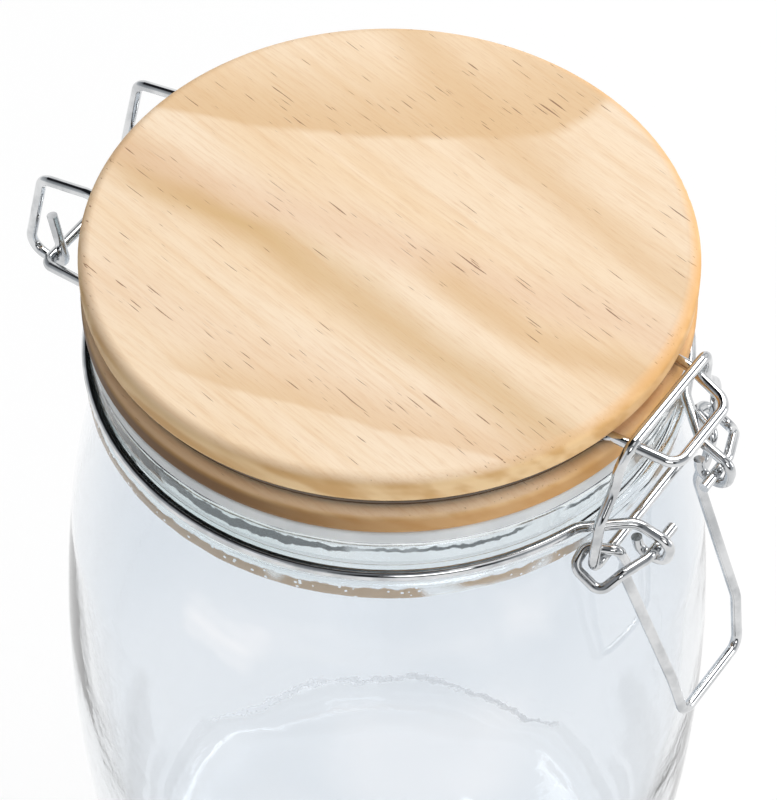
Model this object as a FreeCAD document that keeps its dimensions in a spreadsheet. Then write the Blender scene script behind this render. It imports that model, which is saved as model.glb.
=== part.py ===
import FreeCAD, Part
import math
import os

import Sketcher

# A clip-top glass storage jar with a turned wooden lid, shut.
# Millimetres, +Z up. The origin is the centre of the foot, on the surface that the jar stands on.
# The latch faces -Y and the hinge faces +Y.

SIZES = [
    # name, value, meaning
    ("jar_height", 167.4, "glass, foot to rim"),
    ("heel_radius", 48.7, "outside of the glass at the foot, before its corner is rounded"),
    ("waist_radius", 57.1, "outside where the belly arc meets the shoulder and the heel arc"),
    ("belly_height", 77.0, "height of the widest ring"),
    ("waist_rise", 37.0, "from the widest ring to either end of the belly arc"),
    ("belly_bow", 340.0, "radius of the belly's arc in profile"),
    ("shoulder_bow", 197.0, "radius of the shoulder's and the heel's arc in profile"),
    ("wall", 4.0, "thickness of the belly's wall"),
    ("base_thickness", 6.5, "glass under the cavity"),
    ("foot_ring_radius", 38.0, "inside of the ring that the jar stands on"),
    ("push_up", 2.0, "how far the middle of the foot is raised"),
    ("push_up_bow", 362.0, "radius of the raised foot's arc"),
    ("heel_round", 7.0, "rounding of the foot's corner"),
    ("throat_radius", 49.0, "outside of the glass just under the bead"),
    ("mouth_radius", 43.5, "inside of the neck"),
    ("neck_depth", 17.6, "straight inside of the neck, below the rim"),
    ("rim_radius", 51.3, "outside of the rim"),
    ("rim_depth", 5.6, "rim band, from the top down to the wire's seat"),
    ("wire_seat_radius", 50.5, "glass where the neck wire lies"),
    ("wire_seat_width", 4.2, "height of that seat"),
    ("bead_radius", 52.3, "bead under the neck wire"),
    ("bead_width", 3.8, "height of the bead"),
    ("bead_foot", 1.0, "from the bead down to the throat"),
    ("rim_round", 1.2, "rounding of the rim and the bead"),
    ("gasket_thickness", 2.9, "sealing ring"),
    ("gasket_radius", 51.5, "outside of the sealing ring"),
    ("gasket_round", 0.6, "rounding of the sealing ring"),
    ("lid_radius", 52.0, "both discs of the lid"),
    ("top_disc", 6.2, "thickness of the upper disc"),
    ("low_disc", 5.2, "thickness of the lower disc"),
    ("groove_width", 2.3, "groove between the discs, for the lid wire"),
    ("groove_depth", 3.8, "depth of that groove"),
    ("plug_radius", 42.6, "boss under the lid that centres the sealing ring"),
    ("plug_depth", 5.0, "height of that boss"),
    ("crown_round", 2.0, "rounding of the lid's upper edge"),
    ("brow_round", 2.4, "rounding of the upper disc's lower edge"),
    ("disc_round", 1.6, "rounding of the lower disc and the boss"),
    ("loose_fit", 0.3, "gap between pieces that are only laid together"),
    ("wire_radius", 0.95, "all four wires"),
    ("wire_gap", 0.2, "gap between two wires that bear on each other"),
    ("end_angle", 23.4, "degrees from the latch to where the neck wire leaves the neck"),
    ("back_angle", 25.2, "degrees from the hinge to where the neck wire leaves the neck"),
    ("eye_side", 9.9, "middle plane of each eye of the neck wire, from the centre plane"),
    ("eye_reach", 8.4, "from the neck wire's ring out to the lever's pin"),
    ("pin_drop", 4.7, "from the neck wire's ring down to the lever's pin"),
    ("pin_end", 5.0, "cut end of each pin, from the centre plane"),
    ("hinge_reach", 9.5, "from the neck wire's ring out to the hinge bar"),
    ("hinge_drop", 3.0, "from the neck wire's ring down to the hinge bar"),
    ("hinge_side", 17.0, "end of the hinge bar, from the centre plane"),
    ("ear_side", 14.0, "middle plane of each ear of the lid wire"),
    ("ear_reach", 10.6, "from the lid's edge out to the ear's top corner"),
    ("catch_reach", 9.4, "from the lid's edge out to the catch's bar"),
    ("catch_side", 8.0, "corner of the catch, from the centre plane"),
    ("catch_drop", 1.95, "from the groove's middle down to the catch's bar"),
    ("bail_side", 11.7, "upper corner of the bail, from the centre plane"),
    ("bail_foot_side", 19.9, "lower corner of the bail, from the centre plane"),
    ("bail_lean", 1.0, "how far the bail's top stands out beyond its foot"),
    ("bar_inset", 6.45, "from the lever's pin in to the bail's lower bar"),
    ("bar_drop", 0.6, "from the lever's pin down to the bail's lower bar"),
    ("handle_length", 41.8, "from the lever's pin down to the handle's bar"),
    ("handle_reach", 7.6, "from the lever's pin out to the handle's bar"),
    ("handle_side", 9.1, "corner of the handle, from the centre plane"),
]


def size(name):
    """The value of one named size."""
    for word, value, meaning in SIZES:
        if word == name:
            return value
    raise KeyError(name)


def total(names):
    """Adds named sizes, such as "jar_height -rim_depth"; returns the number and the sheet expression."""
    number = 0.0
    expression = ""
    for word in names.split():
        sign = "-" if word.startswith("-") else "+"
        name = word.lstrip("-")
        number += -size(name) if sign == "-" else size(name)
        expression += " %s Sizes.%s" % (sign, name)
    return number, "0 mm" + expression.replace("Sizes.", "1 mm * Sizes.")


def add_sheet(doc):
    """The driving sizes, one row each."""
    sheet = doc.addObject("Spreadsheet::Sheet", "Sizes")
    for row, (name, value, meaning) in enumerate(SIZES, start=1):
        sheet.set("A%d" % row, meaning)
        sheet.set("B%d" % row, str(value))
        sheet.setAlias("B%d" % row, name)
    doc.recompute()
    return sheet


# ---- turned pieces: an outline in the X-Z plane, revolved about Z ----

def origin_feature(body, role):
    """A body's own origin plane or axis."""
    for feature in body.Origin.OriginFeatures:
        if feature.Role == role:
            return feature
    raise LookupError(role)


def arc_through(start, end, radius, bulge):
    """A sketch arc between two points. bulge 1 turns its back to +X, -1 to -X. Says if it runs backwards."""
    chord = end - start
    middle = (start + end) * 0.5
    side = FreeCAD.Vector(chord.y, -chord.x, 0).normalize()
    if side.x < 0:
        side = side * -1
    centre = middle - side * bulge * math.sqrt(radius ** 2 - (chord.Length / 2) ** 2)
    first = math.atan2(start.y - centre.y, start.x - centre.x)
    last = math.atan2(end.y - centre.y, end.x - centre.x)
    backwards = (last - first) % (2 * math.pi) > math.pi
    if backwards:
        first, last = last, first
    circle = Part.Circle(centre, FreeCAD.Vector(0, 0, 1), radius)
    return Part.ArcOfCircle(circle, first, last), backwards


def turned_body(doc, name, corners):
    """A body revolved from corners: (names of x, names of z, arc to the next corner or None)."""
    body = doc.addObject("PartDesign::Body", name)
    body.Label = name
    sketch = body.newObject("Sketcher::SketchObject", name + "_profile")
    sketch.AttachmentSupport = [(origin_feature(body, "XZ_Plane"), "")]
    sketch.MapMode = "FlatFace"
    places = [FreeCAD.Vector(total(x)[0], total(z)[0], 0) for x, z, arc in corners]
    ends = []
    for index, (x, z, arc) in enumerate(corners):
        start, end = places[index], places[(index + 1) % len(places)]
        if arc is None:
            sketch.addGeometry(Part.LineSegment(start, end))
            ends.append((1, 2))
        else:
            bow, backwards = arc_through(start, end, total(arc[0])[0], arc[1])
            sketch.addGeometry(bow)
            ends.append((2, 1) if backwards else (1, 2))
            rule = sketch.addConstraint(Sketcher.Constraint("Radius", index, total(arc[0])[0]))
            sketch.setExpression("Constraints[%d]" % rule, total(arc[0])[1])
    for index, (x, z, arc) in enumerate(corners):
        before = (index - 1) % len(corners)
        begin = ends[index][0]
        sketch.addConstraint(Sketcher.Constraint("Coincident", before, ends[before][1], index, begin))
        if x:
            rule = sketch.addConstraint(Sketcher.Constraint("DistanceX", -1, 1, index, begin, total(x)[0]))
            sketch.setExpression("Constraints[%d]" % rule, total(x)[1])
        else:
            sketch.addConstraint(Sketcher.Constraint("PointOnObject", index, begin, -2))
        if z:
            rule = sketch.addConstraint(Sketcher.Constraint("DistanceY", -1, 1, index, begin, total(z)[0]))
            sketch.setExpression("Constraints[%d]" % rule, total(z)[1])
        else:
            sketch.addConstraint(Sketcher.Constraint("PointOnObject", index, begin, -1))
    turn = body.newObject("PartDesign::Revolution", name + "_turned")
    turn.Profile = sketch
    turn.ReferenceAxis = (sketch, ["V_Axis"])
    turn.Angle = 360
    body.Tip = turn
    doc.recompute()
    return body


def rounded(doc, body, label, radius_name, rings):
    """Rounds the ring-shaped edges of a body that pass through the given (names of x, names of z)."""
    wanted = [(total(x)[0], total(z)[0]) for x, z in rings]
    base = body.Tip
    picked = []
    for number, edge in enumerate(base.Shape.Edges, start=1):
        spot = edge.Vertexes[0].Point
        radius = math.hypot(spot.x, spot.y)
        for ring_radius, ring_height in wanted:
            if abs(radius - ring_radius) < 0.01 and abs(spot.z - ring_height) < 0.01:
                if edge.BoundBox.ZLength < 0.01:
                    picked.append("Edge%d" % number)
    if len(picked) != len(wanted):
        raise ValueError("%s: %d edges for %d rings" % (label, len(picked), len(wanted)))
    fillet = body.newObject("PartDesign::Fillet", label)
    fillet.Base = (base, picked)
    fillet.setExpression("Radius", total(radius_name)[1])
    body.Tip = fillet
    doc.recompute()


def make_jar(doc):
    """The blown glass: foot, barrel belly, shoulder, bead, wire seat and rim, hollow inside."""
    low_waist = "belly_height -waist_rise"
    high_waist = "belly_height waist_rise"
    seat_top = "jar_height -rim_depth"
    seat_low = seat_top + " -wire_seat_width"
    bead_low = seat_low + " -bead_width"
    throat = bead_low + " -bead_foot"
    neck_inside = "jar_height -neck_depth"
    corners = [
        ("", "push_up", ("push_up_bow", 1)),
        ("foot_ring_radius", "", None),
        ("heel_radius", "", ("shoulder_bow", 1)),
        ("waist_radius", low_waist, ("belly_bow", 1)),
        ("waist_radius", high_waist, ("shoulder_bow", 1)),
        ("throat_radius", throat, None),
        ("bead_radius", bead_low, None),
        ("bead_radius", seat_low, None),
        ("wire_seat_radius", seat_low, None),
        ("wire_seat_radius", seat_top, None),
        ("rim_radius", seat_top, None),
        ("rim_radius", "jar_height", None),
        ("mouth_radius", "jar_height", None),
        ("mouth_radius", neck_inside, ("shoulder_bow -wall", 1)),
        ("waist_radius -wall", high_waist, ("belly_bow -wall", 1)),
        ("waist_radius -wall", low_waist, ("shoulder_bow -wall", 1)),
        ("heel_radius -wall", "base_thickness", None),
        ("", "base_thickness", None),
    ]
    body = turned_body(doc, "jar", corners)
    rounded(doc, body, "heel", "heel_round", [
        ("heel_radius", ""),
        ("heel_radius -wall", "base_thickness"),
    ])
    rounded(doc, body, "rim_and_bead", "rim_round", [
        ("bead_radius", bead_low),
        ("bead_radius", seat_low),
        ("rim_radius", "jar_height"),
        ("mouth_radius", "jar_height"),
        ("mouth_radius", neck_inside),
    ])
    return body


def make_lid(doc):
    """The turned lid: two discs with a groove between them, and a boss inside the sealing ring."""
    foot = "jar_height gasket_thickness"
    shelf = foot + " low_disc"
    brow = shelf + " groove_width"
    crown = brow + " top_disc"
    corners = [
        ("", foot + " -plug_depth", None),
        ("plug_radius", foot + " -plug_depth", None),
        ("plug_radius", foot, None),
        ("lid_radius", foot, None),
        ("lid_radius", shelf, None),
        ("lid_radius -groove_depth", shelf, None),
        ("lid_radius -groove_depth", brow, None),
        ("lid_radius", brow, None),
        ("lid_radius", crown, None),
        ("", crown, None),
    ]
    body = turned_body(doc, "lid", corners)
    rounded(doc, body, "crown_edge", "crown_round", [("lid_radius", crown)])
    rounded(doc, body, "brow_edge", "brow_round", [("lid_radius", brow)])
    rounded(doc, body, "disc_edges", "disc_round", [
        ("lid_radius", foot),
        ("lid_radius", shelf),
        ("plug_radius", foot + " -plug_depth"),
    ])
    return body


def make_gasket(doc):
    """The flat sealing ring between the rim and the lid."""
    top = "jar_height gasket_thickness"
    corners = [
        ("plug_radius loose_fit", "jar_height", None),
        ("gasket_radius", "jar_height", None),
        ("gasket_radius", top, None),
        ("plug_radius loose_fit", top, None),
    ]
    body = turned_body(doc, "gasket", corners)
    rounded(doc, body, "gasket_edges", "gasket_round", [
        ("gasket_radius", "jar_height"),
        ("gasket_radius", top),
    ])
    return body


# ---- bent wires: straight runs joined by tangent arcs, swept with a round section ----

def spot(out, side, up):
    """A point by its distance out from the axis towards the latch, to the side, and up."""
    return FreeCAD.Vector(side, -out, up)


def mirrored(corners):
    """The same corners on the other side of the centre plane, in reverse order."""
    return [(FreeCAD.Vector(-place.x, place.y, place.z), bend) for place, bend in reversed(corners)]


def ring_corners(radius, up, first, last, count):
    """Corners whose bends run along a circle about Z, from one angle to another, on the -X side."""
    step = (last - first) / count
    reach = radius / math.cos(math.radians(step / 2))
    corners = []
    for index in range(count):
        angle = math.radians(first + (index + 0.5) * step)
        corners.append((spot(reach * math.cos(angle), -reach * math.sin(angle), up), radius))
    return corners


def tangent_spot(radius, up, angle, side):
    """Where the circle's tangent at an angle reaches a given distance to the side, on the -X side."""
    turn = math.radians(angle)
    run = (radius * math.sin(turn) - side) / abs(math.cos(turn))
    out = radius * math.cos(turn) + math.copysign(run * math.sin(turn), math.cos(turn))
    return spot(out, -side, up)


def bent_path(corners, closed):
    """Edges along the corners (place, bend radius): straight runs and tangent arcs."""
    edges = []
    count = len(corners)
    inner = range(count) if closed else range(1, count - 1)
    cuts = {}
    for index in inner:
        place, bend = corners[index]
        back = (corners[index - 1][0] - place).normalize()
        ahead = (corners[(index + 1) % count][0] - place).normalize()
        half = (math.pi - back.getAngle(ahead)) / 2
        reach = bend * math.tan(half)
        bisector = (back + ahead).normalize()
        middle = place + bisector * (bend / math.cos(half) - bend)
        cuts[index] = (place + back * reach, middle, place + ahead * reach)
    runs = count if closed else count - 1
    for index in range(runs):
        following = (index + 1) % count
        start = cuts[index][2] if index in cuts else corners[index][0]
        end = cuts[following][0] if following in cuts else corners[following][0]
        run = end - start
        if run.Length > 1e-6:
            if run.dot(corners[following][0] - corners[index][0]) < 0:
                raise ValueError("bends overlap between corners %d and %d" % (index, following))
            edges.append(Part.LineSegment(start, end).toShape())
        if following in cuts and (closed or following < count - 1):
            first, middle, last = cuts[following]
            edges.append(Part.Arc(first, middle, last).toShape())
    return edges


def add_wire(doc, name, corners, closed=False):
    """A round wire bent along the corners, as one solid."""
    edges = bent_path(corners, closed)
    path = Part.Wire(edges)
    start = edges[0].Vertexes[0].Point
    heading = edges[0].tangentAt(edges[0].FirstParameter)
    section = Part.Wire([Part.makeCircle(size("wire_radius"), start, heading)])
    solid = path.makePipeShell([section], True, False)
    expected = math.pi * size("wire_radius") ** 2 * path.Length
    if solid.Volume < 0:
        solid.reverse()
    if abs(solid.Volume - expected) > 0.01 * expected:
        raise ValueError("%s: volume %.1f, section times length %.1f" % (name, solid.Volume, expected))
    feature = doc.addObject("Part::Feature", name)
    feature.Label = name
    feature.Shape = solid
    feature.Placement = FreeCAD.Placement()
    print("%s: wire %.1f mm long" % (name, path.Length))
    return feature


def neck_ring():
    """Radius and height of the neck wire's middle line where it lies on the glass."""
    radius = size("wire_seat_radius") + size("wire_gap") + size("wire_radius")
    up = total("jar_height -rim_depth")[0] - size("wire_seat_width") / 2
    return radius, up


def pin_place():
    """Distance out and height of the lever's pin, the axis that the lever turns about."""
    radius, up = neck_ring()
    return radius + size("eye_reach"), up - size("pin_drop")


def bar_place():
    """Distance out and height of the bail's lower bar."""
    out, up = pin_place()
    return out - size("bar_inset"), up - size("bar_drop")


def hinge_place():
    """Distance out (behind the jar, so negative) and height of the hinge bar."""
    radius, up = neck_ring()
    return -(radius + size("hinge_reach")), up - size("hinge_drop")


def groove_middle():
    """Height of the middle of the lid's groove."""
    return total("jar_height gasket_thickness low_disc")[0] + size("groove_width") / 2


def add_neck_wire(doc):
    """One wire round the neck: an eye at each front end, and a straight bar behind for the hinge."""
    radius, ring_up = neck_ring()
    pin_out, pin_up = pin_place()
    hinge_out, hinge_up = hinge_place()
    side = size("eye_side")
    leaves = radius * math.sin(math.radians(size("end_angle"))) - 3.2
    returns = radius * math.sin(math.radians(size("back_angle"))) - 2.9
    first = size("end_angle")
    last = 180 - size("back_angle")
    half = [
        (spot(pin_out - 3.9, -side - 0.2, pin_up - 0.1), 0),
        (spot(pin_out - 3.4, -side, pin_up - 3.1), 2.2),
        (spot(pin_out + 1.7, -side, pin_up - 3.3), 2.4),
        (spot(pin_out + 2.6, -side, pin_up + 2.1), 2.4),
        (spot(pin_out - 4.0, -side - 0.6, pin_up + 4.0), 4.0),
        (tangent_spot(radius, ring_up, first, leaves), 4.0),
    ]
    half += ring_corners(radius, ring_up, first, last, 6)
    half += [
        (tangent_spot(radius, ring_up, last, returns), 2.5),
        (spot(hinge_out, -size("hinge_side"), hinge_up), 2.0),
    ]
    return add_wire(doc, "neck_wire", half + mirrored(half))


def add_lid_wire(doc):
    """One wire in the lid's groove: the catch in front, and an ear behind at each end."""
    radius = size("lid_radius") - size("groove_depth") + size("wire_gap") + size("wire_radius")
    up = groove_middle()
    edge = size("lid_radius")
    hinge_out, hinge_up = hinge_place()
    side = size("ear_side")
    hook = 2 * size("wire_radius") + size("wire_gap") / 2
    tail_way = FreeCAD.Vector(0, math.cos(math.radians(78)), math.sin(math.radians(78)))
    ear_way = FreeCAD.Vector(0, math.cos(math.radians(13)), math.sin(math.radians(13)))
    crook_way = (tail_way + ear_way).normalize()
    half_turn = tail_way.getAngle(ear_way) / 2
    crook = spot(hinge_out, -side, hinge_up) - crook_way * (hook / math.sin(half_turn))
    tail = crook + tail_way * 12.5
    ear_low = crook + ear_way * 8.4
    ear_top = spot(-edge - size("ear_reach"), -side, up - 2.1)
    enters, leaves = 20.0, 17.7
    half = [
        (tail, 0),
        (crook, hook),
        (ear_low, 3.2),
        (ear_top, 2.6),
        (spot(-edge - 1.0, -side, up), 4.0),
        (tangent_spot(radius, up, 180 - enters, side), 2.8),
    ]
    half += list(reversed(ring_corners(radius, up, leaves, 180 - enters, 6)))
    half += [
        (tangent_spot(radius, up, leaves, 10.3), 2.6),
        (spot(edge + 0.9, -9.9, up), 8.0),
        (spot(edge + size("catch_reach"), -size("catch_side"), up - size("catch_drop")), 3.0),
    ]
    return add_wire(doc, "lid_wire", half + mirrored(half))


def add_bail(doc):
    """A closed loop over the catch: its lower bar is hooked in the lever."""
    bar_out, bar_up = bar_place()
    top_out = bar_out + size("bail_lean")
    top_up = groove_middle() + 2 * size("wire_radius") + 1.5 * size("wire_gap")
    top_side = size("bail_side")
    foot_side = size("bail_foot_side")
    half = [
        (spot(bar_out, -foot_side, bar_up), 2.0),
        (spot(bar_out, -foot_side + 1.3, bar_up + 10.6), 5.0),
        (spot(bar_out, -top_side - 2.6, bar_up + 15.5), 5.0),
        (spot(bar_out + 0.3, -top_side - 2.3, bar_up + 20.4), 8.0),
        (spot(top_out, -top_side, top_up), 2.3),
    ]
    return add_wire(doc, "bail", half + mirrored(half), closed=True)


def add_lever(doc):
    """The handle: each end is coiled round the bail's corner and runs back as a pin through an eye."""
    pin_out, pin_up = pin_place()
    bar_out, bar_up = bar_place()
    foot_side = size("bail_foot_side")
    over_bar = bar_up + 2 * size("wire_radius") + size("wire_gap")
    half = [
        (spot(pin_out, -size("pin_end"), pin_up), 0),
        (spot(pin_out, -size("eye_side") - 3.2, pin_up), 3.0),
        (spot(bar_out + 4.6, -foot_side + 1.6, bar_up + 0.4), 2.0),
        (spot(bar_out + 2.5, -foot_side - 1.5, bar_up - 2.4), 1.8),
        (spot(bar_out - 2.8, -foot_side - 1.3, bar_up + 0.4), 1.8),
        (spot(bar_out - 2.8, -foot_side + 2.2, over_bar), 1.6),
        (spot(bar_out + 2.2, -foot_side + 4.6, over_bar), 1.6),
        (spot(bar_out + 2.4, -foot_side + 6.8, bar_up - 3.0), 3.0),
        (spot(bar_out + 1.6, -foot_side + 7.8, bar_up - 7.4), 4.0),
        (spot(pin_out + 0.72 * size("handle_reach"), -size("handle_side") - 1.7,
              pin_up - 0.754 * size("handle_length")), 8.0),
        (spot(pin_out + size("handle_reach"), -size("handle_side"), pin_up - size("handle_length")), 2.6),
    ]
    return add_wire(doc, "lever", half + mirrored(half))


def check_and_export(doc, pieces):
    """Stops on any failed object, then writes each piece to its own file."""
    for thing in doc.Objects:
        if "Invalid" in thing.State or "Error" in thing.State:
            raise RuntimeError("%s failed: %s" % (thing.Name, thing.State))
    os.makedirs("parts", exist_ok=True)
    for piece in pieces:
        shape = piece.Shape
        if shape.isNull() or not shape.isValid() or len(shape.Solids) != 1:
            raise RuntimeError("%s is not one valid solid" % piece.Label)
        shape.exportStep("parts/%s.step" % piece.Label)
        box = shape.BoundBox
        print("%-10s %9.1f mm3   x %.1f..%.1f  y %.1f..%.1f  z %.1f..%.1f" % (
            piece.Label, shape.Volume, box.XMin, box.XMax, box.YMin, box.YMax, box.ZMin, box.ZMax))


def main():
    doc = FreeCAD.newDocument("clip_top_jar")
    add_sheet(doc)
    pieces = [
        make_jar(doc),
        make_lid(doc),
        make_gasket(doc),
        add_neck_wire(doc),
        add_lid_wire(doc),
        add_bail(doc),
        add_lever(doc),
    ]
    doc.recompute()
    check_and_export(doc, pieces)


main()
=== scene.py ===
# %% [markdown]
# # A clip-top storage jar with a pine lid
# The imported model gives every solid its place: the glass, the lid, the sealing ring and four bent wires.
# This script dresses them. All lengths are in metres, in the model's own frame: +Z is up, the latch is
# towards -Y and the hinge towards +Y.

import bmesh
import bpy
import math
from mathutils import Matrix, Vector, noise


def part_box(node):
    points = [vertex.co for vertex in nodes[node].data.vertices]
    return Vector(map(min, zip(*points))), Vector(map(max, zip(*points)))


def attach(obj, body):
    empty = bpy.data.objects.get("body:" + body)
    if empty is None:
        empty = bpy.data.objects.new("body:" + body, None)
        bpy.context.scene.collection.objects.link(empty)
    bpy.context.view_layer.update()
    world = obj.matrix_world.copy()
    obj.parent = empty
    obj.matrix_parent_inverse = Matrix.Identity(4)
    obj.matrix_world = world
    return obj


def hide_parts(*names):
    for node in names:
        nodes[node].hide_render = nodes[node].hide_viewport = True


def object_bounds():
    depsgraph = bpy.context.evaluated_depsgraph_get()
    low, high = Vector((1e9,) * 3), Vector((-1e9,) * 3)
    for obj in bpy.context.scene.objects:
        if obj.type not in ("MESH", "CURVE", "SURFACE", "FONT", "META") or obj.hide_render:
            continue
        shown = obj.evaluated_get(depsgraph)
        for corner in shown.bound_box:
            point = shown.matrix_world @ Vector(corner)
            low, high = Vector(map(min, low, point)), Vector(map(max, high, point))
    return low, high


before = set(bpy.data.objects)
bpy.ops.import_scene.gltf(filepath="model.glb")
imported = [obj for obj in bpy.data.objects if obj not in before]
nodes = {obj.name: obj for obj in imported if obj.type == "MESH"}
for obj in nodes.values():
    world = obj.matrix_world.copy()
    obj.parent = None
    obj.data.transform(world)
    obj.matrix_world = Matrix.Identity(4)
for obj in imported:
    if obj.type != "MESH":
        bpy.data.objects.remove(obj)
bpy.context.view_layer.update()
print("pieces:", sorted(nodes))

# %% [markdown]
# ## Helpers that make nodes
# A material is a graph of nodes. Written link by link, even a plain one is long to read. The first helpers
# make an empty material, plug a value or a link into a socket, and make one node with its settings.

# %% Node helpers
MM = 0.001


def new_material(name):
    """An empty node material and its output node."""
    material = bpy.data.materials.new(name)
    material.use_nodes = True
    material.node_tree.nodes.clear()
    output = material.node_tree.nodes.new("ShaderNodeOutputMaterial")
    return material, output


def plug(tree, socket, value):
    """Links a socket to another node's output, or sets its plain value."""
    if isinstance(value, bpy.types.NodeSocket):
        tree.links.new(value, socket)
    elif hasattr(socket.default_value, "__len__") and len(socket.default_value) == 4 and len(value) == 3:
        socket.default_value = (*value, 1.0)
    else:
        socket.default_value = value


def add(tree, kind, inputs=None, **settings):
    """A node with its settings and its inputs, by name or by number."""
    node = tree.nodes.new(kind)
    for key, value in settings.items():
        setattr(node, key, value)
    for key, value in (inputs or {}).items():
        plug(tree, node.inputs[key], value)
    return node


def laid_over(tree, below, share, above):
    """A shader with another shader laid over a share of it."""
    return add(tree, "ShaderNodeMixShader", {0: share, 1: below.outputs[0], 2: above.outputs[0]})


def dress(name, material):
    """Gives one solid one material."""
    nodes[name].data.materials.clear()
    nodes[name].data.materials.append(material)


print("node helpers ready")

# %% [markdown]
# ## Helpers that do sums
# A pattern is a sum over places: how high, how far from the axis, how far along the grain. These helpers
# add, multiply, fade and blend, so that a recipe below reads like the sum that it is.

# %% Sum helpers


def maths(tree, operation, *values, clamp=False):
    """One step of arithmetic; returns its result."""
    node = tree.nodes.new("ShaderNodeMath")
    node.operation = operation
    node.use_clamp = clamp
    for index, value in enumerate(values):
        plug(tree, node.inputs[index], value)
    return node.outputs[0]


def product(tree, result, *others):
    """All the values multiplied."""
    for other in others:
        result = maths(tree, "MULTIPLY", result, other)
    return result


def total(tree, result, *others):
    """All the values added."""
    for other in others:
        result = maths(tree, "ADD", result, other)
    return result


def fade(tree, value, low, high):
    """0 at low, 1 at high, smooth between."""
    node = add(tree, "ShaderNodeMapRange", {0: value, 1: low, 2: high}, interpolation_type="SMOOTHSTEP")
    return node.outputs[0]


def band(tree, value, low, high, soft):
    """1 between low and high, with soft edges inside them, and 0 elsewhere."""
    return product(tree, fade(tree, value, low, low + soft), fade(tree, value, high, high - soft))


print("sum helpers ready")

# %% [markdown]
# ## Helpers for places and colours
# Noise and directions are taken from the object's own places, so a pattern stays on its piece when the
# piece moves. Colours are written from 0 to 255, as on a paint chart, and turned into the linear values
# that shaders reckon with.

# %% Place and colour helpers


def clouds(tree, place, scale, detail=2.0):
    """Noise from 0 to 1."""
    return add(tree, "ShaderNodeTexNoise", {"Vector": place, "Scale": scale, "Detail": detail}).outputs["Fac"]


def around_zero(tree, value, width):
    """Noise from 0 to 1 made into a shift, up to half the width either way."""
    return product(tree, maths(tree, "SUBTRACT", value, 0.5), width)


def towards(tree, place, way):
    """How far a place lies in a direction."""
    return add(tree, "ShaderNodeVectorMath", {0: place, 1: way}, operation="DOT_PRODUCT").outputs["Value"]


def from_axis(tree, place):
    """How far a place is from the jar's axis."""
    parts = add(tree, "ShaderNodeSeparateXYZ", {0: place})
    level = add(tree, "ShaderNodeCombineXYZ", {0: parts.outputs[0], 1: parts.outputs[1]})
    return add(tree, "ShaderNodeVectorMath", {0: level.outputs[0]}, operation="LENGTH").outputs["Value"]


def mixed(tree, factor, first, second):
    """Two colours blended; returns the colour."""
    node = tree.nodes.new("ShaderNodeMix")
    node.data_type = "RGBA"
    plug(tree, node.inputs[0], factor)
    plug(tree, node.inputs[6], first)
    plug(tree, node.inputs[7], second)
    return node.outputs[2]


def srgb(red, green, blue):
    """A colour from 0 to 255, turned to linear values."""
    def linear(value):
        value = value / 255
        return value / 12.92 if value <= 0.04045 else ((value + 0.055) / 1.055) ** 2.4
    return tuple(linear(value) for value in (red, green, blue))


# level directions used by several finishes
LEFT_OF_HINGE = (-0.80, 0.60, 0.0)
VIEW_LEFT = (-0.552, 0.834, 0.0)
FAR_SIDE = (0.834, 0.552, 0.0)
print("mid grey is", round(srgb(128, 128, 128)[0], 3), "in linear values")

# %% [markdown]
# ## The camera
# A round jar looks best through a long lens from a good distance, because its rings stay calm ovals.
# This camera stands well back, to the left of the latch, and looks down on the lid. It aims at a
# point on the jar's axis, so no lens shift is needed, and it is rolled by a hair.

# %% Camera
lid_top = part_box("lid")[1].z
EYE_TURN = math.radians(-56.5)
EYE_CLIMB = math.radians(47.0)
EYE_DISTANCE = 0.640
EYE_ROLL = math.radians(0.4)
AIM_BELOW_LID = 40.7 * MM
eye_way = Vector((
    math.sin(EYE_TURN) * math.cos(EYE_CLIMB),
    -math.cos(EYE_TURN) * math.cos(EYE_CLIMB),
    math.sin(EYE_CLIMB),
))
eye = Vector((0, 0, lid_top)) + eye_way * EYE_DISTANCE
aim = Vector((0, 0, lid_top - AIM_BELOW_LID))
camera_data = bpy.data.cameras.new("camera")
camera_data.sensor_fit = "HORIZONTAL"
camera_data.sensor_width = 36.0
camera_data.lens = 177.9
camera_data.clip_start = 0.05
camera_data.clip_end = 20.0
camera = bpy.data.objects.new("camera", camera_data)
bpy.context.scene.collection.objects.link(camera)
camera.rotation_euler = ((aim - eye).to_track_quat("-Z", "Y") @ Matrix.Rotation(
    EYE_ROLL, 3, "Z").to_quaternion()).to_euler()
camera.location = eye
bpy.context.scene.camera = camera
print("camera stands at", [round(value, 3) for value in eye])

# %% [markdown]
# ## The table
# The jar stands on a white table. A plain matt white would turn grey away from the lamps. So most of the
# table's white is its own glow, for lines of sight only: straight ones, mirrored ones and those through
# glass. The rest is matt, and takes the jar's soft shadow.

# %% Table
TABLE_REACH = 3.0
TABLE_GLOW = 0.88
TABLE_DROP = 0.02 * MM
corners = [(-1, -1), (1, -1), (1, 1), (-1, 1)]
floor_mesh = bpy.data.meshes.new("floor")
floor_mesh.from_pydata([(TABLE_REACH * x, TABLE_REACH * y, 0) for x, y in corners], [], [(0, 1, 2, 3)])
floor = bpy.data.objects.new("floor", floor_mesh)
floor.location.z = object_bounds()[0].z - TABLE_DROP
bpy.context.scene.collection.objects.link(floor)
table_white, output = new_material("table_white")
tree = table_white.node_tree
paths = add(tree, "ShaderNodeLightPath")
sight = maths(tree, "MAXIMUM", paths.outputs["Is Camera Ray"], paths.outputs["Is Glossy Ray"])
sight = maths(tree, "MAXIMUM", sight, paths.outputs["Is Transmission Ray"])
matt = add(tree, "ShaderNodeBsdfDiffuse", {"Color": (0.95, 0.95, 0.95)})
glow = add(tree, "ShaderNodeEmission", {"Color": (1, 1, 1), "Strength": 1.0})
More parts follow.
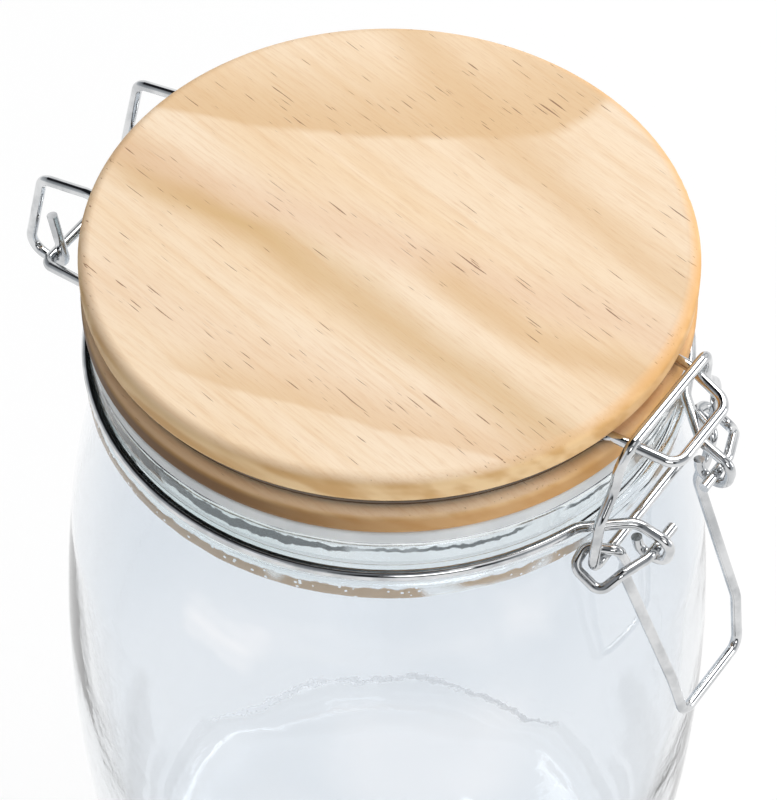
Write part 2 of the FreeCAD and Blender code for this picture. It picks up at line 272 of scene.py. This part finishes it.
surface = laid_over(tree, matt, product(tree, sight, TABLE_GLOW), glow)
plug(tree, output.inputs["Surface"], surface.outputs[0])
floor_mesh.materials.append(table_white)
print("floor at", round(floor.location.z, 5))

# %% [markdown]
# ## The room
# Chrome shows only what it mirrors, so a white room makes it vanish. A studio hangs black cards and
# white panels round bright metal. The world does the same: what metal and glass mirror is a grey room,
# lighter low down, with two black cards and four white panels. A panel is a round patch of sky with a
# soft edge, given by its angle round Z from +X, its climb, and two half-widths in degrees.

# %% Mirrored room
world = bpy.data.worlds.new("studio")
bpy.context.scene.world = world
world.use_nodes = True
tree = world.node_tree
tree.nodes.clear()
output = add(tree, "ShaderNodeOutputWorld")
sight_line = add(tree, "ShaderNodeTexCoord").outputs["Generated"]


def sky_towards(turn, climb):
    """How far a sight line points to a direction, given in degrees."""
    turn, climb = math.radians(turn), math.radians(climb)
    way = (math.cos(turn) * math.cos(climb), math.sin(turn) * math.cos(climb), math.sin(climb))
    return towards(tree, sight_line, way)


CARD = (0.012, 0.013, 0.015)
PANELS = [
    (85, 68, 33, 39, CARD),
    (225, 24, 20, 30, CARD),
    (40, 10, 20, 30, (1.0, 1.0, 1.0)),
    (262, 54, 13, 17, (1.0, 1.0, 1.0)),
    (345, 22, 16, 22, (1.0, 1.0, 1.0)),
    (165, 12, 12, 20, (0.95, 0.97, 1.0)),
]
ROOM_GREYS = [
    (0.00, (0.62, 0.64, 0.66)),
    (0.25, (0.44, 0.46, 0.48)),
    (0.60, (0.26, 0.27, 0.29)),
    (1.00, (0.20, 0.21, 0.22)),
]
greys = add(tree, "ShaderNodeValToRGB", {0: sky_towards(0, 90)})
greys.color_ramp.interpolation = "EASE"
while len(greys.color_ramp.elements) < len(ROOM_GREYS):
    greys.color_ramp.elements.new(0.5)
for element, (height, grey) in zip(greys.color_ramp.elements, ROOM_GREYS):
    element.position = height
    element.color = (*grey, 1.0)
mirror = greys.outputs[0]
for turn, climb, inner, outer, colour in PANELS:
    inner, outer = math.cos(math.radians(inner)), math.cos(math.radians(outer))
    cover = fade(tree, sky_towards(turn, climb), outer, inner)
    mirror = mixed(tree, cover, mirror, colour)
mirror_side = add(tree, "ShaderNodeBackground", {"Color": mirror, "Strength": 1.0})
print("mirrored room:", len(PANELS), "panels")

# %% [markdown]
# ## The soft light
# Wood needs the opposite of chrome: one broad slanted light and no patches. So plain surfaces are lit by
# a second, soft sky, bright from the latch's side and dim from the hinge's. A straight line of sight, and
# one through glass, meets plain white. The kind of ray decides which of the three skies it finds.

# %% Soft sky
slant = fade(tree, sky_towards(-56.5, 8), -0.9, 0.8)
soft = mixed(tree, slant, (0.05, 0.055, 0.065), (0.86, 0.86, 0.86))
soft_side = add(tree, "ShaderNodeBackground", {"Color": soft, "Strength": 0.92})
white = add(tree, "ShaderNodeBackground", {"Color": (1, 1, 1), "Strength": 1.0})
paths = add(tree, "ShaderNodeLightPath")
lit = laid_over(tree, soft_side, paths.outputs["Is Glossy Ray"], mirror_side)
through = maths(tree, "MAXIMUM", paths.outputs["Is Camera Ray"], paths.outputs["Is Transmission Ray"])
sky = laid_over(tree, lit, through, white)
plug(tree, output.inputs["Surface"], sky.outputs[0])
print("world nodes:", len(tree.nodes))

# %% [markdown]
# ## The lamps
# Three soft boxes give the light a direction. The key hangs high on the right and draws the lid's edge
# and the jar's shadow. A weak fill lifts the near side, and a low one catches the latch's wires.

# %% Lamps
LAMP_AIM = Vector((0, 0, 0.12))


def softbox(name, place, watts, width, height):
    """A rectangular lamp at a place, turned to the jar."""
    data = bpy.data.lights.new(name, "AREA")
    data.shape = "RECTANGLE"
    data.size = width
    data.size_y = height
    data.energy = watts
    lamp = bpy.data.objects.new(name, data)
    lamp.location = place
    lamp.rotation_euler = (LAMP_AIM - Vector(place)).to_track_quat("-Z", "Y").to_euler()
    bpy.context.scene.collection.objects.link(lamp)
    return lamp


softbox("key", (0.65, -0.05, 1.30), 11.5, 0.8, 0.8)
softbox("fill", (-0.9, -1.0, 0.9), 3.0, 0.6, 0.6)
softbox("edge", (0.9, -1.1, 0.45), 2.5, 0.4, 0.6)

# %% [markdown]
# ## The glass: its section
# The jar is blown into a mould, so it is round, with a barrel belly, a bead under the rim and a hollow
# foot. A round body is easiest to make on a lathe: draw half of its section, and turn it. The table
# below gives the section's corners in millimetres, from the foot's middle out, up, over the rim and down
# inside. A bow is the radius of an arc that leads to the next corner.

# %% Bows and roundings
ARC_STEPS = 8
SECTION = [
    # radius, height, rounding, bow to the next corner, steps to it
    (0.0, 2.0, 0, 362, 16),
    (38.0, 0.0, 0, 0, 4),
    (48.7, 0.0, 7.0, 197, 14),
    (57.1, 40.0, 0, 340, 26),
    (57.1, 114.0, 0, 197, 14),
    (49.0, 152.8, 0, 0, 2),
    (52.3, 153.8, 1.2, 0, 2),
    (52.3, 157.6, 1.2, 0, 2),
    (50.5, 157.6, 0, 0, 3),
    (50.5, 161.8, 0, 0, 2),
    (51.3, 161.8, 0, 0, 4),
    (51.3, 167.4, 1.2, 0, 6),
    (43.5, 167.4, 1.2, 0, 10),
    (43.5, 149.8, 1.2, 193, 14),
    (53.1, 114.0, 0, 336, 26),
    (53.1, 40.0, 0, 193, 14),
    (44.7, 6.5, 3.5, 0, 12),
    (0.0, 6.5, 0, 0, 1),
]


def bowed(start, end, bow, steps):
    """Points on an arc from start to end with its back turned outwards, without its end."""
    chord = end - start
    side = Vector((chord.y, -chord.x)).normalized()
    if side.x < 0:
        side.negate()
    centre = (start + end) / 2 - side * math.sqrt(bow ** 2 - (chord.length / 2) ** 2)
    first = math.atan2(start.y - centre.y, start.x - centre.x)
    last = math.atan2(end.y - centre.y, end.x - centre.x)
    turns = [first + (last - first) * step / steps for step in range(steps)]
    return [centre + bow * Vector((math.cos(turn), math.sin(turn))) for turn in turns]


def rounded(before, corner, after, rounding):
    """How far a rounding reaches along both sides of a corner, and the points of its arc."""
    back = (before - corner).normalized()
    ahead = (after - corner).normalized()
    half = (math.pi - back.angle(ahead)) / 2
    cut = rounding * math.tan(half)
    middle = corner + (back + ahead).normalized() * (rounding / math.cos(half))
    first = corner + back * cut - middle
    last = corner + ahead * cut - middle
    # slerp gives a vector of length 1, so it is drawn out to the rounding's radius
    return cut, [middle + first.slerp(last, step / ARC_STEPS) * rounding for step in range(ARC_STEPS + 1)]


print("section corners:", len(SECTION))

# %% [markdown]
# ## The glass: from corners to points
# Each side is cut into steps first, then the marked corners are replaced by small arcs, and points that
# the arcs have cut off are dropped. The result is one clean line, ready for the lathe.

# %% Section of the glass
NEAR_STEPS = 12


def section_points():
    """The section as one line of points."""
    line = []
    marked = {}
    for index, (radius, height, rounding, bow, steps) in enumerate(SECTION):
        here = Vector((radius, height))
        if rounding:
            marked[len(line)] = rounding
        if index == len(SECTION) - 1:
            line.append(here)
            break
        there = Vector(SECTION[index + 1][:2])
        if bow:
            line += bowed(here, there, bow, steps)
        else:
            line += [here.lerp(there, step / steps) for step in range(steps)]
    arcs = {spot: rounded(line[spot - 1], line[spot], line[spot + 1], rounding)
            for spot, rounding in marked.items()}
    points = []
    for index, point in enumerate(line):
        if index in arcs:
            points += arcs[index][1]
        elif not any(abs(index - spot) < NEAR_STEPS and (point - line[spot]).length < cut * 0.999
                     for spot, (cut, arc) in arcs.items()):
            points.append(point)
    return points


section = section_points()
print("section points:", len(section))

# %% [markdown]
# ## The glass: on the lathe
# Moulded glass is never quite even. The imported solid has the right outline, but it is perfectly round and
# smooth. So the glass is turned again here as a fine mesh, and its inner wall is left a little wavy, as a
# blown inner wall is. Waves in the wall bend what is seen through the jar, which a surface bump can't do.
# Every push on the outer wall goes inwards, so the mesh stays inside its solid.

# %% Lathe
SIDES = 320


def waver(x, y, z, size, seed):
    """Smooth noise from -1 to 1 at a place in millimetres; the size is about one wave's length."""
    return noise.noise(Vector((x / size + seed, y / size - seed, z / size + 2 * seed)))


def inner_shift(x, y, z):
    """Push outwards and lift of the inner wall: slow waves, a lumpy neck and an uneven floor."""
    low = min(1.0, max(0.0, (18 - z) / 10))
    high = min(1.0, max(0.0, (z - 138) / 8))
    push = 0.22 * waver(x, y, z, 34, 3.1) + 0.02 * waver(x, y, z, 9, 7.7)
    push = push * (1 - 0.6 * low) + 0.14 * high * waver(x, y, z, 4.5, 1.3)
    lift = low * (0.16 * waver(x, y, z, 22, 5.2) + 0.02 * waver(x, y, z, 8, 9.4))
    return push, lift


def outer_shift(x, y, z):
    """Push of the outer wall, always inwards: a faint ripple, and a rougher bead."""
    push = -0.04 - 0.04 * waver(x, y, z, 14, 4.4)
    if 150 < z < 158.5:
        push -= 0.10 * (1 + waver(x, y, z, 3.2, 8.8))
    return push * min(1.0, z / 4), 0.0


def turned_glass(points):
    """The section turned about Z."""
    rim = max(point.y for point in points)
    last_on_rim = max(index for index, point in enumerate(points) if point.y > rim - 0.001)
    shape = bmesh.new()
    rings = []
    for index, point in enumerate(points):
        if point.x < 0.001:
            rings.append([shape.verts.new((0, 0, point.y * MM))])
            continue
        shift = inner_shift if index > last_on_rim else outer_shift
        ring = []
        for side in range(SIDES):
            turn = 2 * math.pi * side / SIDES
            cosine, sine = math.cos(turn), math.sin(turn)
            push, lift = shift(point.x * cosine, point.x * sine, point.y)
            radius = point.x + push
            ring.append(shape.verts.new((radius * cosine * MM, radius * sine * MM, (point.y + lift) * MM)))
        rings.append(ring)
    for low, high in zip(rings, rings[1:]):
        for side in range(SIDES):
            after = (side + 1) % SIDES
            if len(low) == 1:
                shape.faces.new((low[0], high[side], high[after]))
            elif len(high) == 1:
                shape.faces.new((low[side], high[0], low[after]))
            else:
                shape.faces.new((low[side], high[side], high[after], low[after]))
    bmesh.ops.recalc_face_normals(shape, faces=shape.faces)
    mesh = bpy.data.meshes.new("glass_wall")
    shape.to_mesh(mesh)
    shape.free()
    mesh.shade_smooth()
    return mesh


glass = bpy.data.objects.new("glass_wall", turned_glass(section))
bpy.context.scene.collection.objects.link(glass)
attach(glass, "closed_jar")
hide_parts("jar")
print("glass:", len(glass.data.polygons), "faces")

# %% [markdown]
# ## Clear glass: skin and tint
# Soda glass is faintly blue, and each line of sight passes several walls, so one wall's colour must be
# very pale. It is a little cloudy rather than flat, because the wall's thickness changes. A fine, slow
# bump is the skin that the mould leaves.

# %% Glass skin and tint
clear_glass, output = new_material("clear_glass")
tree = clear_glass.node_tree
place = add(tree, "ShaderNodeTexCoord").outputs["Object"]
up = product(tree, add(tree, "ShaderNodeSeparateXYZ", {0: place}).outputs[2], 1000.0)
out = product(tree, from_axis(tree, place), 1000.0)
skin = clouds(tree, place, 130.0, 3.0)
dents = clouds(tree, place, 600.0)
skin_bump = add(tree, "ShaderNodeBump", {
    "Strength": 0.04, "Distance": 0.0006, "Height": total(tree, skin, product(tree, dents, 0.15))})
haze = fade(tree, skin, 0.45, 0.75)
cloud = clouds(tree, place, 17.0, 1.5)
tint = mixed(tree, fade(tree, cloud, 0.35, 0.66), (0.825, 0.858, 0.892), (0.885, 0.908, 0.933))
print("glass: bump and tint over", len(tree.nodes), "nodes")

# %% [markdown]
# ## Clear glass: pale panes
# Windows and panels leave soft pale patches on the belly of a jar. True reflections would slide away with
# every view, so these are painted reflections: the wall itself is made clearer in five soft patches. Each
# is given by its angle round Z, its height and its half-sizes in millimetres. A little noise keeps their
# edges from being straight.

# %% Pale panes
PANES = [
    # turn, height, half width, half height, softness, share
    (-178.5, 134.0, 7.5, 3.4, 1.8, 0.95),
    (-119.0, 141.0, 4.5, 4.0, 3.0, 0.80),
    (-139.0, 113.0, 14.5, 12.0, 6.5, 0.75),
    (-158.0, 90.0, 12.0, 12.0, 7.0, 0.40),
    (-150.0, 138.0, 22.0, 2.2, 2.0, 0.35),
]
drift = around_zero(tree, clouds(tree, place, 75.0, 3.0), 9.0)


def pane(turn, height, half_wide, half_high, soft):
    """1 inside a soft-edged patch of the wall."""
    turn = math.radians(turn)
    sideways = product(tree, towards(tree, place, (-math.sin(turn), math.cos(turn), 0.0)), 1000.0)
    sideways = maths(tree, "ABSOLUTE", total(tree, sideways, drift))
    upwards = maths(tree, "ABSOLUTE", total(tree, maths(tree, "SUBTRACT", up, height), drift))
    facing = towards(tree, place, (math.cos(turn), math.sin(turn), 0.0))
    return product(tree, fade(tree, sideways, half_wide + soft, half_wide - soft),
                   fade(tree, upwards, half_high + soft, half_high - soft), fade(tree, facing, 0.0, 0.02))


pale_share = 0.0
for turn, height, half_wide, half_high, soft, share in PANES:
    spot = product(tree, pane(turn, height, half_wide, half_high, soft), share)
    pale_share = maths(tree, "MAXIMUM", pale_share, spot)
# painted reflections: the tint turns almost clear inside the panes
tint = mixed(tree, pale_share, tint, (1.0, 0.995, 1.0))
print("pale panes:", len(PANES))

# %% [markdown]
# ## Clear glass: the body of it
# The neck is the thickest glass, so it is greener. On the hinge's left, the side away from the light, it
# is darker and greener still: painted shade. Where a wall is seen edge on, light has bounced along it many
# times and would come out too dark, so the tint is paler there. One shader then does the bending and the
# mirroring.

# %% Glass body
left_side = fade(tree, towards(tree, place, LEFT_OF_HINGE), 0.022, 0.036)
# painted shade: the neck is darker and greener on the hinge's left
neck_tint_and_shade = mixed(tree, left_side, (0.83, 0.88, 0.885), (0.68, 0.77, 0.765))
tint = mixed(tree, product(tree, fade(tree, up, 150.5, 154.0), 0.85), tint, neck_tint_and_shade)
edge_on = add(tree, "ShaderNodeLayerWeight", {"Blend": 0.5}).outputs["Facing"]
tint = mixed(tree, product(tree, fade(tree, edge_on, 0.55, 0.95), 0.8), tint, (0.97, 0.98, 0.99))
clear = add(tree, "ShaderNodeBsdfPrincipled", {
    "Base Color": tint,
    "Roughness": product(tree, haze, 0.03),
    "IOR": 1.50,
    "Transmission Weight": 1.0,
    "Normal": skin_bump.outputs[0],
})
print("glass body bends light by", clear.inputs["IOR"].default_value)

# %% [markdown]
# ## Clear glass: the fawn line on the bead
# The bead under the wire gathers a fawn line, the wood above seen in its curve: a painted reflection. It is
# solid on one side and broken on the other, with small bubbles in it. It sits at a fixed height, so a mask
# by height makes it: two soft limits, roughened by fine noise and pierced by the cells of a bubble pattern.

# %% Fawn line
ragged = clouds(tree, place, 420.0, 3.0)
longer = clouds(tree, place, 60.0)
bubbles = add(tree, "ShaderNodeTexVoronoi", {"Vector": place, "Scale": 700.0}).outputs["Distance"]
solid = product(tree, fade(tree, towards(tree, place, VIEW_LEFT), -0.008, 0.0), 0.22)
fawn = product(
    tree,
    band(tree, total(tree, up, around_zero(tree, ragged, 1.2)), 152.9, 156.9, 0.4),
    fade(tree, out, 49.5, 50.5),
    fade(tree, bubbles, 0.16, 0.26),
    fade(tree, total(tree, longer, solid), 0.46, 0.56),
)
# painted reflection of the wood: a fawn shader laid over the bead
fawn_reflection = add(tree, "ShaderNodeBsdfPrincipled", {"Base Color": srgb(178, 156, 128), "Roughness": 0.25})
with_fawn = laid_over(tree, clear, product(tree, fawn, 0.90), fawn_reflection)
print("fawn line on the bead from 152.9 to 156.9 mm")

# %% [markdown]
# ## Clear glass: lip and foot
# Two more painted lines run round the jar. The rounded lip gathers the dark of the room into a thin broken
# line, fuller on the hinge's left: a painted dark reflection. The corner inside the foot catches the light
# as a thin ragged one, on the far side: a painted highlight. Both are masks by height, like the fawn line,
# but with longer waves in them.

# %% Lip and foot lines
lip = total(tree, up, around_zero(tree, ragged, 2.4), around_zero(tree, longer, 3.0))
lip_line = product(
    tree,
    fade(tree, total(tree, lip, product(tree, left_side, 1.3)), 164.9, 165.2),
    fade(tree, lip, 166.1, 165.8),
    fade(tree, out, 49.0, 50.0),
    fade(tree, total(tree, longer, product(tree, left_side, 0.16)), 0.36, 0.50),
)
# painted dark reflection on the lip
lip_dark = add(tree, "ShaderNodeBsdfPrincipled", {"Base Color": srgb(58, 70, 76), "Roughness": 0.15})
with_lip = laid_over(tree, with_fawn, product(tree, lip_line, 0.85), lip_dark)

foot = total(tree, up, around_zero(tree, longer, 5.0), around_zero(tree, ragged, 2.2))
foot_line = product(
    tree,
    band(tree, foot, 11.0, 12.5, 0.5),
    fade(tree, out, 49.4, 48.6),
    fade(tree, towards(tree, place, FAR_SIDE), 0.026, 0.034),
)
# painted highlight in the corner inside the foot
foot_white = add(tree, "ShaderNodeBsdfPrincipled", {"Base Color": (0.97, 0.97, 0.98), "Roughness": 0.4})
with_foot = laid_over(tree, with_lip, product(tree, foot_line, 0.8), foot_white)
print("lip line and foot line laid over")

# %% [markdown]
# ## Clear glass: light for the lamps
# Lamp light that is bent by glass is slow to find, and without it the jar would throw a black shadow. The
# usual way out is taken here: for shadow rays alone, the glass is plainly see-through, with a faint tint.

# %% Glass shadow
paths = add(tree, "ShaderNodeLightPath")
passing = add(tree, "ShaderNodeBsdfTransparent", {"Color": (0.93, 0.95, 0.965)})
surface = laid_over(tree, with_foot, paths.outputs["Is Shadow Ray"], passing)
plug(tree, output.inputs["Surface"], surface.outputs[0])
glass.data.materials.append(clear_glass)
dress("jar", clear_glass)
print("clear glass ready:", len(tree.nodes), "nodes")

# %% [markdown]
# ## Pine: the board's own directions
# The lid is turned from flat-sawn pine. Wood is easiest to paint in the board's directions: along the
# grain, and across it. The board lies with its grain a little off the line from latch to hinge, and its
# rings lean as they go down, which the height's share in the across direction gives.

# %% Pine directions
GRAIN_X, GRAIN_Y = -0.207, -0.978
RING_LEAN = 0.6
pine, output = new_material("pine")
tree = pine.node_tree
place = add(tree, "ShaderNodeTexCoord").outputs["Object"]
parts = add(tree, "ShaderNodeSeparateXYZ", {0: place})
x = product(tree, parts.outputs[0], 1000.0)
y = product(tree, parts.outputs[1], 1000.0)
z = product(tree, maths(tree, "SUBTRACT", parts.outputs[2], lid_top), 1000.0)
along = total(tree, product(tree, x, GRAIN_X), product(tree, y, GRAIN_Y))
across = total(tree, product(tree, x, -GRAIN_Y), product(tree, y, GRAIN_X), product(tree, z, RING_LEAN))


def grain_noise(along_size, across_size, seed, detail=2.0):
    """Noise from 0 to 1 stretched along the grain; sizes in millimetres."""
    spot = add(tree, "ShaderNodeCombineXYZ", {
        0: maths(tree, "DIVIDE", along, along_size),
        1: maths(tree, "DIVIDE", across, across_size),
        2: total(tree, maths(tree, "DIVIDE", z, across_size), seed),
    })
    return clouds(tree, spot.outputs[0], 1.0, detail)


wander = around_zero(tree, grain_noise(26, 14, 3.0, 3.0), 7.0)
fibre = grain_noise(9, 0.55, 5.0, 3.0)
fine = grain_noise(3.2, 0.22, 8.0)
off_latch = math.degrees(math.atan2(GRAIN_X, GRAIN_Y)) + 180
print("grain runs", round(off_latch, 1), "degrees off the latch's line")

# %% [markdown]
# ## Pine: growth rings
# Where a saw meets the rings at a slant, they show as broad wavy bands, and where it grazes one, as an
# arch that joiners call a flame. Each band here is one ring's line: a slope and a slow curve along the
# grain, with some wandering, and a soft width on either side.

# %% Growth rings


def ring_line(middle, slope, curve):
    """Signed distance across the grain from one ring's line, which wanders a little."""
    line = total(tree, middle, product(tree, along, slope), product(tree, along, along, curve))
    return total(tree, maths(tree, "SUBTRACT", across, line), wander)


def stripe(distance, inner, outer):
    """1 on the line, fading to 0 at inner on the - side and at outer on the + side."""
    return product(tree, fade(tree, distance, outer, 0.0), fade(tree, distance, inner, 0.0))


from_flame = maths(tree, "ABSOLUTE", maths(tree, "SUBTRACT", across, 46.0))
arch = product(tree, maths(tree, "POWER", from_flame, 1.62), 0.085)
flame = total(tree, along, arch, -3.0, product(tree, wander, 0.9))
flame_glow = product(tree, fade(tree, flame, 1.5, -1.5), fade(tree, flame, -34.0, -1.0))

dark_band = product(tree, stripe(ring_line(-13.3, 0.075, -0.0008), -7.5, 8.0),
                    total(tree, 0.65, product(tree, fade(tree, along, 5.0, -40.0), 0.35)))
rosy_band = stripe(ring_line(-1.0, 0.37, 0.0001), -8.0, 9.0)
second_band = product(tree, stripe(ring_line(1.6, -0.186, 0.0061), -5.0, 7.0), fade(tree, along, 2.0, 16.0))
low_band = product(tree, stripe(ring_line(-42.3, 0.446, 0.001), -1.2, 11.0), fade(tree, along, -12.0, 4.0))
low_rosy = stripe(ring_line(-33.5, 0.30, 0.0), -9.0, 10.0)
corner_band = stripe(ring_line(30.0, -0.15, 0.002), -8.0, 9.0)
print("one flame and six bands")

# %% [markdown]
# ## Pine: its colours
# The pale early wood is laid down first, then streaks, bands and fibres, each as a thin stain over what
# is there. This is how a wood painter works too, and it keeps each colour easy to change.

# %% Pine colours
TAN = srgb(221, 186, 142)
ROSY = srgb(231, 200, 170)


def stained(colour, mask, share, stain):
    """The colour so far, with a stain over a share of a mask."""
    return mixed(tree, product(tree, mask, share), colour, stain)


streak = grain_noise(60, 2.2, 51.0, 3.0)
slow = fade(tree, grain_noise(90, 22, 11.0), 0.35, 0.70)
colour = mixed(tree, slow, srgb(243, 222, 195), srgb(238, 210, 174))
colour = stained(colour, fade(tree, streak, 0.48, 0.74), 0.38, srgb(228, 192, 150))
colour = stained(colour, fade(tree, streak, 0.46, 0.24), 0.35, srgb(251, 231, 206))
for mask, share, stain in [
        (flame_glow, 0.80, TAN),
        (dark_band, 0.95, srgb(206, 168, 112)),
        (rosy_band, 0.70, ROSY),
        (second_band, 0.80, TAN),
        (low_band, 0.62, TAN),
        (low_rosy, 0.34, ROSY),
        (corner_band, 0.62, TAN)]:
    colour = stained(colour, mask, share, stain)
colour = stained(colour, fade(tree, fibre, 0.42, 0.75), 0.26, srgb(216, 174, 130))
colour = stained(colour, fade(tree, fine, 0.50, 0.80), 0.24, srgb(196, 150, 108))
print("pine stains laid")

# %% [markdown]
# ## Pine: resin canals
# The thin dark dashes are resin canals, cut lengthwise. They crowd in the bands and are rare between. Thin
# stretched noise is cut off at a bar, and the bar is lowered where dashes should be many.

# %% Resin canals
dash_zone = total(
    tree, flame_glow, rosy_band, product(tree, low_rosy, 0.9), product(tree, dark_band, 0.4),
    product(tree, fade(tree, grain_noise(20, 9, 31.0), 0.5, 0.7), 0.5))
dash_zone = maths(tree, "ADD", dash_zone, 0.10, clamp=True)


def canals(pattern, bar, lowered, soft):
    """Dashes where a pattern rises over its bar."""
    bar = maths(tree, "SUBTRACT", bar, product(tree, dash_zone, lowered))
    return fade(tree, maths(tree, "SUBTRACT", pattern, bar), 0.0, soft)


dashes = maths(tree, "MAXIMUM", canals(grain_noise(8.5, 0.46, 21.0, 1.0), 0.745, 0.070, 0.055),
               canals(grain_noise(5.5, 0.34, 61.0, 1.0), 0.775, 0.075, 0.05))
colour = stained(colour, dashes, 0.78, srgb(124, 84, 66))
print("resin canals in two sizes")

# %% [markdown]
# ## Pine: the turned edge
# On the edge the lathe has cut across the fibres, and the oil soaks in deeper there, so it is a deeper gold
# than the top; the edge colour also stands in for the shade on the sides, so it is partly painted shade. The
# lower disc is painted browner, as shade under the upper disc, and browner still on the hinge's left, the
# side away from the light: painted shade. On the lit side the edge and the rim get a warmer orange:
# painted light. The surface's own normal tells edge from top.

# %% Turned edge
normal = add(tree, "ShaderNodeNewGeometry").outputs["Normal"]
facing_up = add(tree, "ShaderNodeSeparateXYZ", {0: normal}).outputs[2]
turned = fade(tree, facing_up, 0.90, 0.30)
lower_disc = fade(tree, z, -8.5, -10.5)
# mask for painted shade on the hinge's left, the side away from the light
shaded_left = fade(tree, total(tree, product(tree, x, -0.55), product(tree, y, 0.83)), -16.0, 34.0)
# mask for painted light on the lit side
lit_side = fade(tree, total(tree, product(tree, x, 0.55), product(tree, y, -0.83)), 20.0, 46.0)
edge_streak = fade(tree, grain_noise(30, 5.0, 41.0), 0.35, 0.65)
edge_tone = mixed(tree, edge_streak, srgb(222, 178, 120), srgb(248, 214, 164))
# painted shade: the lower disc browner, under the upper disc
edge_tone = stained(edge_tone, lower_disc, 0.72, srgb(196, 142, 80))
# painted shade: the lower disc darkest on the hinge's left
edge_tone = stained(edge_tone, product(tree, lower_disc, shaded_left), 0.92, srgb(98, 68, 38))
# painted light: a warmer orange on the lit side
edge_tone = stained(edge_tone, lit_side, 0.45, srgb(228, 168, 96))
# the rim's orange: a little all round, and painted light on the lit side
rim = fade(tree, product(tree, from_axis(tree, place), 1000.0), 49.3, 51.6)
rim = product(tree, rim, total(tree, 0.22, product(tree, lit_side, 0.60)))
colour = mixed(tree, rim, colour, srgb(222, 172, 114))
# edge colour by the normal: the end grain's own colour, partly painted shade
colour = stained(colour, turned, 0.97, edge_tone)
print("edge tone laid")

# %% [markdown]
# ## Pine: its surface
# The lid is sanded and lightly oiled: satin, with a trace of the fibres and small dips at the canals. The
# relief is too fine to model, so a bump gives it, a tenth of a millimetre deep.

# %% Pine surface
relief = maths(tree, "SUBTRACT", product(tree, fibre, 0.35), dashes)
relief = total(tree, relief, product(tree, fine, 0.25))
pine_bump = add(tree, "ShaderNodeBump", {"Strength": 0.35, "Distance": 0.00012, "Height": relief})
body = add(tree, "ShaderNodeBsdfPrincipled", {
    "Base Color": colour,
    "Roughness": total(tree, 0.50, product(tree, fibre, 0.14)),
    "IOR": 1.42,
    "Specular IOR Level": 0.25,
    "Normal": pine_bump.outputs[0],
})
plug(tree, output.inputs["Surface"], body.outputs[0])
dress("lid", pine)
print("pine ready:", len(tree.nodes), "nodes")

# %% [markdown]
# ## The sealing ring
# It is pale silicone: milky, soft, and a little see-through at its edge. Light scatters a short way in,
# so a small amount of subsurface is right here. A faint cloud and a fine grain keep it from looking flat.

# %% Pale silicone
silicone, output = new_material("pale_silicone")
tree = silicone.node_tree
place = add(tree, "ShaderNodeTexCoord").outputs["Object"]
milk = clouds(tree, place, 90.0, 3.0)
speck = clouds(tree, place, 1500.0, 1.0)
silicone_bump = add(tree, "ShaderNodeBump", {"Strength": 0.2, "Distance": 0.0001, "Height": speck})
body = add(tree, "ShaderNodeBsdfPrincipled", {
    "Base Color": mixed(tree, fade(tree, milk, 0.3, 0.7), srgb(216, 220, 222), srgb(232, 235, 235)),
    "Roughness": total(tree, 0.42, product(tree, milk, 0.15)),
    "Subsurface Weight": 0.25,
    "Subsurface Radius": (0.002, 0.002, 0.002),
    "Normal": silicone_bump.outputs[0],
})
plug(tree, output.inputs["Surface"], body.outputs[0])
dress("gasket", silicone)
print("silicone ready")

# %% [markdown]
# ## Bright wire: its colour
# The four wires are plated steel, drawn and bent, then tumbled. The plating is bright but uneven. Shade is
# painted onto it in two places: dark brown where a wire lies in the lid's groove, and nearly black in the
# crevice between the neck wire and the glass, on the hinge's left. Both places are found by distance from
# the axis and height.

# %% Wire colour
bright_wire, output = new_material("bright_wire")
tree = bright_wire.node_tree
place = add(tree, "ShaderNodeTexCoord").outputs["Object"]
wire_height = add(tree, "ShaderNodeSeparateXYZ", {0: place}).outputs[2]
wire_out = from_axis(tree, place)
worn = clouds(tree, place, 220.0, 4.0)
drawn = clouds(tree, place, 1300.0)
colour = mixed(tree, fade(tree, worn, 0.35, 0.72), srgb(220, 221, 222), srgb(188, 190, 192))
# painted shade: the wire darkened where it lies in the lid's groove
in_groove = product(tree, fade(tree, wire_out, 0.0512, 0.0504), fade(tree, wire_height, 0.171, 0.173))
colour = stained(colour, in_groove, 0.92, srgb(86, 70, 54))
# painted shade: the crevice between the neck wire and the glass, on the hinge's left
crevice = product(tree, fade(tree, wire_out, 0.0521, 0.0516), fade(tree, wire_height, 0.166, 0.164),
                  fade(tree, towards(tree, place, LEFT_OF_HINGE), 0.014, 0.034))
colour = stained(colour, crevice, 0.92, srgb(34, 37, 40))
print("wire colour ready")

# %% [markdown]
# ## Bright wire: its gloss
# Metal has no colour of its own under its mirror, so a fully metallic shader is right. The gloss changes
# a little from place to place, and drawing the wire leaves lines too fine for anything but a bump.

# %% Plated wire
wire_bump = add(tree, "ShaderNodeBump", {
    "Strength": 0.10, "Distance": 0.00008, "Height": total(tree, worn, product(tree, drawn, 0.3))})
body = add(tree, "ShaderNodeBsdfPrincipled", {
    "Base Color": colour,
    "Metallic": 1.0,
    "Roughness": total(tree, 0.07, product(tree, fade(tree, worn, 0.4, 0.8), 0.14)),
    "Normal": wire_bump.outputs[0],
})
plug(tree, output.inputs["Surface"], body.outputs[0])
for name in ("neck_wire", "lid_wire", "bail", "lever"):
    dress(name, bright_wire)
print("wire ready:", len(tree.nodes), "nodes")

# %% [markdown]
# ## Close
# Colours are shown as they are, with no film look.

bpy.context.scene.view_settings.view_transform = "Standard"
